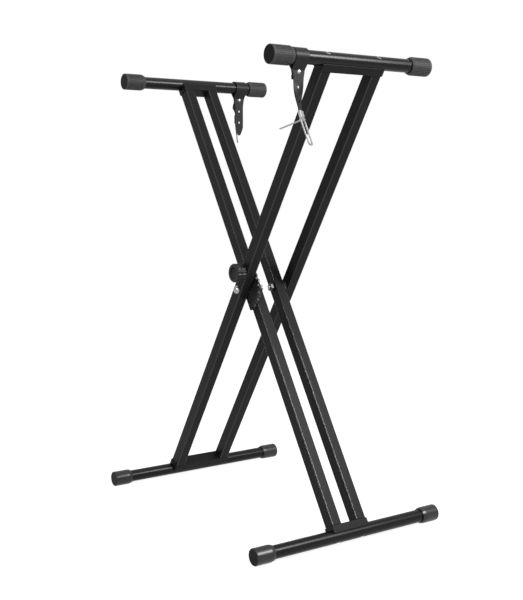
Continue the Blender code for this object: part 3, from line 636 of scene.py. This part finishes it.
@dataclass
class CrossTube:
    """A round tube across one end of a leg frame, with its two end caps.

    Attributes:
        kind: "support" or "foot".
        hand: "left" or "right".
        end: The end of the leg frame that it lies on.
        length: Its length over the caps.
    """

    kind: str
    hand: str
    end: End
    length: float
    wall: float = 1.5 * MM
    cap_end: float = 4 * MM
    seat_middle: float = 11.2 * MM
    seat_height: float = 6 * MM
    seat_flare: float = 5 * MM

    def cap(self) -> EndCap:
        """The cap that this kind of tube carries."""
        if self.kind == "support":
            return EndCap(17 * MM, 46 * MM, 30)
        return EndCap(FOOT_CAP_RADIUS, 40 * MM)

    def build(self, leg: "LegFrame", paints: Paintbox) -> None:
        """Models the tube and its caps, and hands them over."""
        reach = REACH_UP if self.end is End.TOP else REACH_DOWN
        name = f"{self.kind}_tube_{self.hand}"
        bare = self.length - 2 * (self.cap_end + TOUCH)
        tube = add_rod(name + "_body", TUBE_RADIUS, bare, 96, "Y", ends="NOTHING")
        apply_modifier(tube, "SOLIDIFY", thickness=self.wall, offset=-1, use_even_offset=True)
        for side in Side:
            y = leg.rail_y(side)
            inward = -self.end.value * TUBE_RADIUS
            narrow, broad = BOLT_HOLE_RADIUS - MM, BOLT_HOLE_RADIUS + self.seat_flare
            seat = add_cone("bolt_seat", narrow, broad, self.seat_height)
            facing = Matrix.Rotation(0 if self.end is End.TOP else math.pi, 4, "X")
            middle = Matrix.Translation((0, y, self.end.value * self.seat_middle))
            carve(tube, bake_place(seat, middle @ facing))
            carve(tube, add_rod("bolt_hole", BOLT_HOLE_RADIUS, 2 * TUBE_RADIUS, 32, centre=(0, y, inward)))
        break_edges(tube, 0.25 * MM, 50)
        smooth(tube, 30)
        bake_place(tube, leg.place @ Matrix.Translation((0, 0, self.end.value * reach)))
        paints.paint(tube, GLOSS_PAINT)
        hand_over(tube, leg.body, "gloss_paint", name)
        for side in Side:
            self._build_cap(leg, paints, side, reach)

    def _build_cap(self, leg: "LegFrame", paints: Paintbox, side: Side, reach: float) -> None:
        """Models one end cap and hands it over."""
        sizes = self.cap()
        node = f"{self.kind}_cap_{self.hand}_{side.word}"
        cap = sizes.model(node + "_moulding")
        mouth = side.value * (self.length / 2 - sizes.length)
        middle = leg.place @ Vector((0, mouth, self.end.value * reach))
        bake_place(cap, Matrix.Translation(middle) @ Matrix.Rotation(-side.value * math.pi / 2, 4, "X"))
        paints.paint(cap, CAP_RUBBER if self.kind == "support" else FOOT_RUBBER)
        # The outer end faces take the darker finish, which is painted shade.
        paints.paint_faces(cap, CAP_END_PAINTED_SHADE, lambda face: face.normal.y * side.value > 0.95)
        hand_over(cap, leg.body, "rubber", node)


@dataclass
class LegFrame:
    """One of the two nested frames: two rails and a saddle bar across each end.

    Attributes:
        label: "outer" or "inner".
        lean: Which way it leans, 1 or -1.
        width: Its width over the rails.
        tubes: The tubes that it carries.
    """

    label: str
    lean: int
    width: float
    tubes: tuple[CrossTube, ...]
    rail_depth: float = 25 * MM
    rail_width: float = 22 * MM
    rail_wall: float = 1.6 * MM
    rail_corner: float = 2 * MM
    saddle_depth: float = 27 * MM
    saddle_overhang: float = 2 * MM
    pivot_hole: float = 4.3 * MM

    @property
    def body(self) -> str:
        """The CAD body that this frame's pieces ride on."""
        return self.label + "_frame"

    @property
    def place(self) -> Matrix:
        """The frame's own place."""
        return leg_place(self.lean)

    def rail_y(self, side: Side) -> float:
        """The middle of one rail."""
        return side.value * (self.width - self.rail_width) / 2

    def build(self, paints: Paintbox) -> None:
        """Models the rails, the saddles and the tubes."""
        for side in Side:
            self._build_rail(paints, side)
        for end in End:
            self._build_saddle(paints, end)
        for tube in self.tubes:
            tube.build(self, paints)

    def _build_rail(self, paints: Paintbox, side: Side) -> None:
        """Models one square-section rail, with rounded corners and open ends."""
        top = REACH_UP - SADDLE_INSET - TOUCH
        foot = -(REACH_DOWN - SADDLE_INSET - TOUCH)
        y = self.rail_y(side)
        name = f"{self.label}_rail_{side.word}"
        size = (self.rail_depth, self.rail_width, top - foot)
        rail = add_box(name + "_section", size, (0, y, (top + foot) / 2))
        with editing(rail):
            choose_faces(rail, lambda face: abs(face.normal.z) > 0.5)
            bpy.ops.mesh.delete(type="ONLY_FACE")
            choose_edges(rail, lambda edge: edge.calc_length() > 0.1)
            bpy.ops.mesh.bevel(offset=self.rail_corner, segments=5, affect="EDGES")
        apply_modifier(rail, "SOLIDIFY", thickness=self.rail_wall, offset=-1, use_even_offset=True)
        carve(rail, add_rod("pivot_hole", self.pivot_hole, 2 * self.width, 48, "Y"))
        if self.label == "outer" and side is Side.FRONT:
            carve(rail, add_rod("pin_hole", PIN_HOLE_RADIUS, 3 * self.rail_width, 48, "Y", (0, y, PIN_UP)))
        smooth(rail, 40)
        bake_place(rail, self.place)
        paints.paint(rail, POWDER_COAT)
        paints.paint_faces(rail, CORNER_COAT, lambda face: 0.1 < abs(face.normal.y) < 0.98)
        hand_over(rail, self.body, "powder_coat", name)

    def _build_saddle(self, paints: Paintbox, end: End) -> None:
        """Models one saddle bar, with its round seat."""
        reach = REACH_UP if end is End.TOP else REACH_DOWN
        word = "top" if end is End.TOP else "foot"
        name = f"{self.label}_saddle_{word}"
        middle = end.value * (reach - SEAT_RISE - SADDLE_HEIGHT / 2)
        size = (self.saddle_depth, self.width + 2 * self.saddle_overhang, SADDLE_HEIGHT)
        saddle = add_box(name + "_bar", size, (0, 0, middle))
        apply_modifier(saddle, "BEVEL", width=1.5 * MM, segments=3)
        seat = add_rod("seat", TUBE_RADIUS + TOUCH, 2 * self.width, 96, "Y", (0, 0, end.value * reach))
        carve(saddle, seat)
        for side in Side:
            centre = (0, self.rail_y(side), middle)
            carve(saddle, add_rod("bolt_hole", BOLT_HOLE_RADIUS, 60 * MM, 32, centre=centre))
        smooth(saddle, 35)
        bake_place(saddle, self.place)
        paints.paint(saddle, POWDER_COAT)
        hand_over(saddle, self.body, "powder_coat", name)


@dataclass
class PullKnob:
    """The knob that pulls the lock pin, modelled along Z with its back towards the rail.

    Attributes:
        radius: Its radius over the flutes.
        thickness: Its thickness.
        flutes: How many finger flutes its rim has.
    """

    radius: float = 19 * MM
    thickness: float = 19 * MM
    flutes: int = 16
    standoff: float = 5 * MM
    flute_depth: float = 1.2 * MM
    rim_slope: float = 1.6 * MM
    groove_radius: float = 1.3 * MM
    recess_radius: float = 10.5 * MM
    recess_depth: float = 8.6 * MM

    def build(self, paints: Paintbox) -> None:
        """Models the knob and hands it over."""
        knob = add_rod("lock_knob_moulding", self.radius, self.thickness, 8 * self.flutes)
        with editing(knob):
            choose_faces(knob, lambda face: face.normal.z > 0.5)
            bpy.ops.mesh.inset(thickness=self.rim_slope, depth=0)
        for vertex in knob.data.vertices:
            reach = math.hypot(vertex.co.x, vertex.co.y)
            if reach > self.radius - 0.5 * MM:
                turn = math.atan2(vertex.co.y, vertex.co.x)
                share = 1 - self.flute_depth * (0.5 - 0.5 * math.cos(self.flutes * turn)) / reach
                vertex.co.x *= share
                vertex.co.y *= share
                if vertex.co.z > 0:
                    vertex.co.z -= self.rim_slope
        with editing(knob):
            choose_faces(knob, lambda face: face.normal.z > 0.95)
            bpy.ops.mesh.inset(thickness=4.5 * MM, depth=0)
            bpy.ops.mesh.inset(thickness=0.8 * MM, depth=-1 * MM)
        clear_selection()
        bpy.ops.mesh.primitive_torus_add(
            major_radius=self.radius, minor_radius=self.groove_radius, major_segments=128, minor_segments=16
        )
        carve(knob, newest("knob_groove"))
        back = (0, 0, -self.thickness / 2)
        carve(knob, add_rod("recess", self.recess_radius, 2 * self.recess_depth, 64, centre=back))
        break_edges(knob, 0.4 * MM, 35)
        smooth(knob, 40)
        rail_face = Matrix.Translation((0, -OUTER_WIDTH / 2, PIN_UP)) @ Matrix.Rotation(math.pi / 2, 4, "X")
        middle = Matrix.Translation((0, 0, self.standoff + self.thickness / 2))
        bake_place(knob, leg_place(1) @ rail_face @ middle)
        paints.paint(knob, KNOB_PLASTIC)
        hand_over(knob, "lock_knob", "knob_plastic", "lock_knob")


@dataclass
class PivotBolt:
    """A bright domed bolt head on the wide frame's outer face."""

    side: Side
    head_radius: float = 9 * MM
    head_height: float = 6.5 * MM
    shank_radius: float = 4 * MM
    length: float = 61 * MM

    def build(self, paints: Paintbox) -> None:
        """Turns the bolt and hands it over."""
        turns = [math.pi / 2 * i / 12 for i in range(13)]
        profile = [(self.head_radius * math.sin(turn), self.head_height * math.cos(turn)) for turn in turns]
        profile += [(self.shank_radius, 0.0), (self.shank_radius, -self.length), (0.0, -self.length)]
        name = "pivot_bolt_" + self.side.word
        bolt = lathe(name + "_turned", profile)
        smooth(bolt, 40)
        head = Matrix.Translation((0, self.side.value * (OUTER_WIDTH / 2 + TOUCH), PIVOT_HEIGHT))
        bake_place(bolt, head @ Matrix.Rotation(-self.side.value * math.pi / 2, 4, "X"))
        paints.paint(bolt, CHROME)
        hand_over(bolt, "outer_frame", "chrome", name)


@dataclass
class Strap:
    """A rubber strap round a support tube, with a riveted neck and a long holed flap.

    Attributes:
        hand: "left" or "right".
        lean: Which leg frame's tube carries it, 1 or -1.
        y: Its middle along the tube.
        long_end: How far the long flap reaches below the tube's axis.
        stub_end: How far the short flap reaches.
        stand_off: How far the short flap stands off the long one.
        turn: How far the long flap is twisted at its end.
        stub_turn: How far the short flap is twisted at its end.
        bow_angle: How far the long flap leans sideways at its end.
        pointed: Whether the long flap ends in a point.
    """

    hand: str
    lean: int
    y: float
    long_end: float
    stub_end: float
    stand_off: float
    turn: float
    stub_turn: float
    bow_angle: float
    pointed: bool
    thickness: float = 2.5 * MM
    loop_width: float = 28 * MM
    width: float = 20 * MM
    neck: float = 22 * MM
    narrows: tuple[float, float] = (10 * MM, 46 * MM)
    tip_length: float = 18 * MM
    tip_width: float = 4 * MM
    stub_bend: float = 31 * MM
    stub_twist_from: float = 33 * MM
    twist_from: float = 44 * MM
    bow_from: float = 62 * MM
    clip_height: float = 12 * MM
    half: float = 1.45 * MM
    holes: tuple[float, float] = (52 * MM, 77 * MM)
    hole_radius: float = 2.5 * MM
    rivet_drop: float = 26 * MM
    rivet_hole_radius: float = 2.35 * MM

    @property
    def body(self) -> str:
        """The CAD body of this strap."""
        return "strap_" + self.hand

    @property
    def place(self) -> Matrix:
        """The strap's place: its origin on the tube's axis, its Z upright."""
        up = REACH_UP
        x = self.lean * up * math.sin(TILT)
        return Matrix.Translation((x, self.y, PIVOT_HEIGHT + up * math.cos(TILT)))

    def _eased(self, drop: float, start: float, end: float, turn: float) -> float:
        """How far a flap has turned at a distance below the tube's axis, straight again at its clip."""
        share = min(1.0, max(0.0, (drop - start) / (end - start - self.clip_height)))
        return turn * share * share * (3 - 2 * share)

    def _bow(self, drop: float) -> tuple[float, float, float]:
        """How far the long flap has moved sideways and down at a length, and how far it leans."""
        clip_top = self.long_end - self.clip_height
        if self.bow_angle == 0 or drop <= self.bow_from:
            return 0.0, drop, 0.0
        radius = (clip_top - self.bow_from) / self.bow_angle
        lean = self.bow_angle * min(1.0, (drop - self.bow_from) / (clip_top - self.bow_from))
        straight = max(0.0, drop - clip_top)
        sideways = radius * (1 - math.cos(lean)) + straight * math.sin(lean)
        return sideways, self.bow_from + radius * math.sin(lean) + straight * math.cos(lean), lean

    def flap_place(self, drop: float) -> Matrix:
        """The place of the long flap's section at a length below the tube's axis.

        Args:
            drop: The length along the flap, from the tube's axis.

        Returns:
            The section's place against the strap's own, with X through the strap and Y across it.
        """
        sideways, down, lean = self._bow(drop)
        foot = Matrix.Rotation(self.turn, 4, "Z")
        middle = Matrix.Translation((self.half, 0, -down)) @ foot @ Matrix.Translation((sideways, 0, 0))
        turned = Matrix.Rotation(self._eased(drop, self.twist_from, self.long_end, self.turn), 4, "Z")
        return middle @ Matrix.Rotation(-lean, 4, "Y") @ foot.inverted() @ turned

    def width_at(self, drop: float) -> float:
        """The strap's width at a distance below the tube's axis."""
        start, stop = self.narrows
        if drop < stop:
            share = max(0.0, drop - start) / (stop - start)
            return self.width + (self.loop_width - self.width) * (0.5 + 0.5 * math.cos(math.pi * share))
        left = max(0.0, self.long_end - drop)
        if self.pointed and left < self.tip_length:
            return self.tip_width + (self.width - self.tip_width) * (left / self.tip_length) ** 0.8
        return self.width

    def path(self) -> list[tuple[float, float]]:
        """The strap's middle line seen from the front, as (x, z), from the short flap's end."""
        radius = TUBE_RADIUS + TOUCH + 0.06 * MM + self.thickness / 2
        start = math.atan2(-self.neck, self.half) + math.acos(radius / math.hypot(self.half, self.neck))
        away = self.stub_bend + self.stand_off
        line = []
        for i in range(11):
            line.append((-self.half - self.stand_off, -self.stub_end + (self.stub_end - away) * i / 10))
        for i in range(1, 9):
            line.append((-self.half - self.stand_off * (1 - i / 8), -away + self.stand_off * i / 8))
        line += [(-self.half, -28 * MM), (-self.half, -25 * MM), (-self.half, -self.neck)]
        turns = [math.pi - start - (math.pi - 2 * start) * i / 40 for i in range(41)]
        line += [(radius * math.cos(turn), radius * math.sin(turn)) for turn in turns]
        fall = self.long_end - self.neck
        line += [(self.half, -self.neck - fall * i / 44) for i in range(45)]
        return line

    def build(self, paints: Paintbox) -> None:
        """Models the strap as one bent strip and hands it over."""
        line = self.path()
        across = 8
        clear_selection()
        bpy.ops.mesh.primitive_grid_add(x_subdivisions=len(line) - 1, y_subdivisions=across, size=1)
        strip = newest(self.body + "_rubber")
        long_flap = len(line) - 45
        for vertex in strip.data.vertices:
            index = round((vertex.co.x + 0.5) * (len(line) - 1))
            x, z = line[index]
            y = vertex.co.y * self.width_at(-z)
            vertex.co = (x, y, z)
            if index >= long_flap:
                vertex.co = self.flap_place(-z) @ Vector((0, y, 0))
            elif z < -self.stub_bend and x < 0:
                turn = self._eased(-z, self.stub_twist_from, self.stub_end, self.stub_turn)
                vertex.co = Matrix.Rotation(turn, 3, "Z") @ Vector((0, y, 0)) + Vector((x, 0, z))
        with editing(strip):
            bpy.ops.mesh.select_all(action="SELECT")
            bpy.ops.mesh.normals_make_consistent(inside=False)
        apply_modifier(strip, "SOLIDIFY", thickness=self.thickness, offset=0, use_even_offset=True)
        for drop in self.holes:
            hole = add_rod("hole", self.hole_radius, 24 * MM, 32, "X")
            bake_place(hole, self.flap_place(drop))
            carve(strip, hole)
        rivet = (0, 0, -self.rivet_drop)
        carve(strip, add_rod("rivet_hole", self.rivet_hole_radius, 24 * MM, 32, "X", rivet))
        break_edges(strip, 0.4 * MM, 60)
        smooth(strip, 40)
        bake_place(strip, self.place)
        paints.paint(strip, STRAP_RUBBER)
        hand_over(strip, self.body, "rubber", self.body)


@dataclass
class Buckle:
    """The wire loop and the tongue on a strap's clip.

    Attributes:
        strap: The strap that carries it.
        hinge: The hinge's place against the strap's, its Y along the clip's barrel.
        loop_turn: How far the loop swings from the clip's down.
        tongue_turn: How far the tongue swings from the clip's down.
    """

    strap: Strap
    hinge: Matrix
    loop_turn: float
    tongue_turn: float
    loop_half: float = 13.2 * MM
    loop_length: float = 46 * MM
    loop_corner: float = 2.2 * MM
    loop_far_corner: float = 8 * MM
    loop_wire: float = 1.5 * MM
    tongue_length: float = 43.5 * MM
    tongue_radius: float = 1.5 * MM
    tongue_tip_radius: float = 1.35 * MM
    eye_radius: float = 3 * MM
    eye_width: float = 3.2 * MM

    def place(self, swing: float) -> Matrix:
        """The hinge's place, turned by a swing about its own axis."""
        return self.strap.place @ self.hinge @ Matrix.Rotation(-swing, 4, "Y")

    def build(self, paints: Paintbox) -> None:
        """Models the loop and the tongue and hands them over."""
        corners = ((1, -1, -math.pi / 2), (1, 0, 0.0), (-1, 0, math.pi / 2), (-1, -1, math.pi))
        points = []
        for sign, foot, start in corners:
            reach = self.loop_corner if foot == 0 else self.loop_far_corner
            y = sign * (self.loop_half - reach)
            z = -reach if foot == 0 else -self.loop_length + reach
            for i in range(13):
                turn = start + math.pi / 2 * i / 12
                points.append(Vector((0, y + reach * math.cos(turn), z + reach * math.sin(turn))))
        name = "strap_loop_" + self.strap.hand
        loop = wire(name + "_wire", points, self.loop_wire, closed=True)
        smooth(loop, 60)
        bake_place(loop, self.place(self.loop_turn))
        paints.paint(loop, WIRE_STEEL)
        hand_over(loop, name, "chrome", name)
        self._build_tongue(paints)

    def _build_tongue(self, paints: Paintbox) -> None:
        """Joins the tongue's round eye and its slightly tapered prong."""
        name = "strap_tongue_" + self.strap.hand
        tongue = add_rod(name + "_wire", self.eye_radius, self.eye_width, 48, "Y")
        start = self.eye_radius / 2
        middle = (0, 0, -(start + self.tongue_length) / 2)
        length = self.tongue_length - start
        prong = add_cone("prong", self.tongue_tip_radius, self.tongue_radius, length, 24, middle)
        carve(tongue, prong, "UNION")
        carve(tongue, add_rod("eye_bore", self.loop_wire + TOUCH, 3 * self.eye_width, 48, "Y"))
        break_edges(tongue, 0.3 * MM, 50)
        smooth(tongue, 40)
        bake_place(tongue, self.place(self.tongue_turn))
        paints.paint(tongue, WIRE_STEEL)
        hand_over(tongue, name, "chrome", name)


def finish_small_parts(paints: Paintbox) -> None:
    """Gives each CAD solid that stays in view its finish."""
    kinds = (
        ("pivot_washer", NYLON),
        ("lock_plate", PLATE_STEEL),
        ("strap_clip", WIRE_STEEL),
        ("strap_rivet", CHROME),
        ("pivot_nut", DULL_STEEL),
    )
    for name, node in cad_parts.items():
        if node.hide_render:
            continue
        finish = next((kind for start, kind in kinds if name.startswith(start)), ZINC)
        paints.paint(node, finish)
        LOG.info("%s keeps its solid, finished in %s", name, finish.name)


def seen_by_lens(tree: bpy.types.NodeTree) -> bpy.types.NodeSocket:
    """A socket that is 1 for camera, glossy and transmission rays, and 0 for the rest."""
    path = tree.nodes.new("ShaderNodeLightPath")
    total = path.outputs["Is Camera Ray"]
    for kind in ("Is Glossy Ray", "Is Transmission Ray"):
        either = tree.nodes.new("ShaderNodeMath")
        either.operation = "MAXIMUM"
        tree.links.new(total, either.inputs[0])
        tree.links.new(path.outputs[kind], either.inputs[1])
        total = either.outputs[0]
    return total


@dataclass
class Studio:
    """The plain pale floor, the soft lights, the white surround and the camera."""

    camera_at: tuple[float, float, float] = (1.6736, -1.1398, 0.6692)
    down: float = 6.722
    heading: float = 55.967
    lens: float = 59.2

    def build(self) -> None:
        """Sets the whole studio up."""
        bpy.context.scene.view_settings.view_transform = "Standard"
        self._camera()
        self._floor()
        self._surround()
        self._softbox("key_light", (0.7, -2.1, 1.4), (1.2, 0.2), 27.0)
        self._softbox("top_light", (0.3, 0.2, 3.2), (2.6, 2.6), 24.0)
        self._softbox("streak_light", (1.6, 0.95, 1.6), (0.8, 0.55), 62.0)

    def _camera(self) -> None:
        """Adds the camera at the photograph's viewpoint."""
        data = bpy.data.cameras.new("camera")
        data.lens = self.lens
        camera = bpy.data.objects.new("camera", data)
        camera.location = self.camera_at
        camera.rotation_euler = (math.radians(90 - self.down), 0, math.radians(self.heading))
        bpy.context.scene.collection.objects.link(camera)
        bpy.context.scene.camera = camera

    def _floor(self) -> None:
        """Adds the floor, which the camera sees white except in the stand's shadow."""
        clear_selection()
        bpy.ops.mesh.primitive_plane_add(size=60)
        floor = newest("studio_floor")
        made = bpy.data.materials.new("studio_floor")
        made.use_nodes = True
        tree = made.node_tree
        tree.nodes.clear()
        matt = tree.nodes.new("ShaderNodeBsdfDiffuse")
        matt.inputs["Color"].default_value = (0.85, 0.85, 0.85, 1)
        shade = tree.nodes.new("ShaderNodeBsdfDiffuse")
        shade.inputs["Color"].default_value = (0.3, 0.3, 0.3, 1)
        glow = tree.nodes.new("ShaderNodeEmission")
        glow.inputs["Strength"].default_value = 0.86
        both = tree.nodes.new("ShaderNodeAddShader")
        pick = tree.nodes.new("ShaderNodeMixShader")
        out = tree.nodes.new("ShaderNodeOutputMaterial")
        tree.links.new(shade.outputs[0], both.inputs[0])
        tree.links.new(glow.outputs[0], both.inputs[1])
        tree.links.new(seen_by_lens(tree), pick.inputs[0])
        tree.links.new(matt.outputs[0], pick.inputs[1])
        tree.links.new(both.outputs[0], pick.inputs[2])
        tree.links.new(pick.outputs[0], out.inputs["Surface"])
        floor.data.materials.append(made)

    def _surround(self) -> None:
        """Makes the world white to the camera and in reflections, and a soft grey light to the rest."""
        world = bpy.data.worlds.new("surround")
        bpy.context.scene.world = world
        world.use_nodes = True
        tree = world.node_tree
        tree.nodes.clear()
        soft = tree.nodes.new("ShaderNodeBackground")
        soft.inputs["Color"].default_value = (1, 1, 1, 1)
        soft.inputs["Strength"].default_value = 0.45
        white = tree.nodes.new("ShaderNodeBackground")
        white.inputs["Color"].default_value = (1, 1, 1, 1)
        white.inputs["Strength"].default_value = 1.0
        pick = tree.nodes.new("ShaderNodeMixShader")
        out = tree.nodes.new("ShaderNodeOutputWorld")
        tree.links.new(seen_by_lens(tree), pick.inputs[0])
        tree.links.new(soft.outputs[0], pick.inputs[1])
        tree.links.new(white.outputs[0], pick.inputs[2])
        tree.links.new(pick.outputs[0], out.inputs["Surface"])

    def _softbox(
        self, name: str, where: tuple[float, float, float], size: tuple[float, float], power: float
    ) -> None:
        """Adds an area light that faces the middle of the stand, its second side along the tubes."""
        data = bpy.data.lights.new(name, "AREA")
        data.shape = "RECTANGLE"
        data.size, data.size_y = size
        data.energy = power
        light = bpy.data.objects.new(name, data)
        light.location = where
        aim = Vector((0, 0, PIVOT_HEIGHT)) - Vector(where)
        back = -aim.normalized()
        across = Vector((0, 1, 0)).cross(back).normalized()
        light.rotation_euler = Matrix((across, back.cross(across), back)).transposed().to_euler()
        bpy.context.scene.collection.objects.link(light)


def main() -> None:
    """Builds and dresses the stand, piece by piece."""
    logging.basicConfig(level=logging.INFO, format="%(message)s")
    paints = Paintbox()
    Studio().build()
    outer_tubes = (
        CrossTube("support", "right", End.TOP, SUPPORT_LENGTH),
        CrossTube("foot", "left", End.FOOT, FOOT_LENGTH),
    )
    inner_tubes = (
        CrossTube("support", "left", End.TOP, SUPPORT_LENGTH),
        CrossTube("foot", "right", End.FOOT, FOOT_LENGTH),
    )
    LegFrame("outer", 1, OUTER_WIDTH, outer_tubes).build(paints)
    LegFrame("inner", -1, INNER_WIDTH, inner_tubes).build(paints)
    for side in Side:
        PivotBolt(side).build(paints)
    PullKnob().build(paints)
    twist, stub_twist = math.radians(40), math.radians(56)
    right = Strap(
        "right", lean=1, y=-119 * MM, long_end=101 * MM, stub_end=39 * MM, stand_off=2 * MM,
        turn=twist, stub_turn=0.0, bow_angle=math.radians(13), pointed=False,
    )
    left = Strap(
        "left", lean=-1, y=112 * MM, long_end=106 * MM, stub_end=69 * MM, stand_off=12.6 * MM,
        turn=0.0, stub_turn=stub_twist, bow_angle=0.0, pointed=True,
    )
    for strap in (right, left):
        strap.build(paints)
    foot = right.flap_place(right.long_end + BUCKLE_HINGE_DROP)
    Buckle(right, foot, math.radians(7), math.radians(-82)).build(paints)
    stub_foot = Matrix.Translation((-left.half - left.stand_off, 0, -left.stub_end - BUCKLE_HINGE_DROP))
    swing = math.radians(6)
    Buckle(left, stub_foot @ Matrix.Rotation(stub_twist, 4, "Z"), swing, swing).build(paints)
    finish_small_parts(paints)


if __name__ == "__main__":
    main()
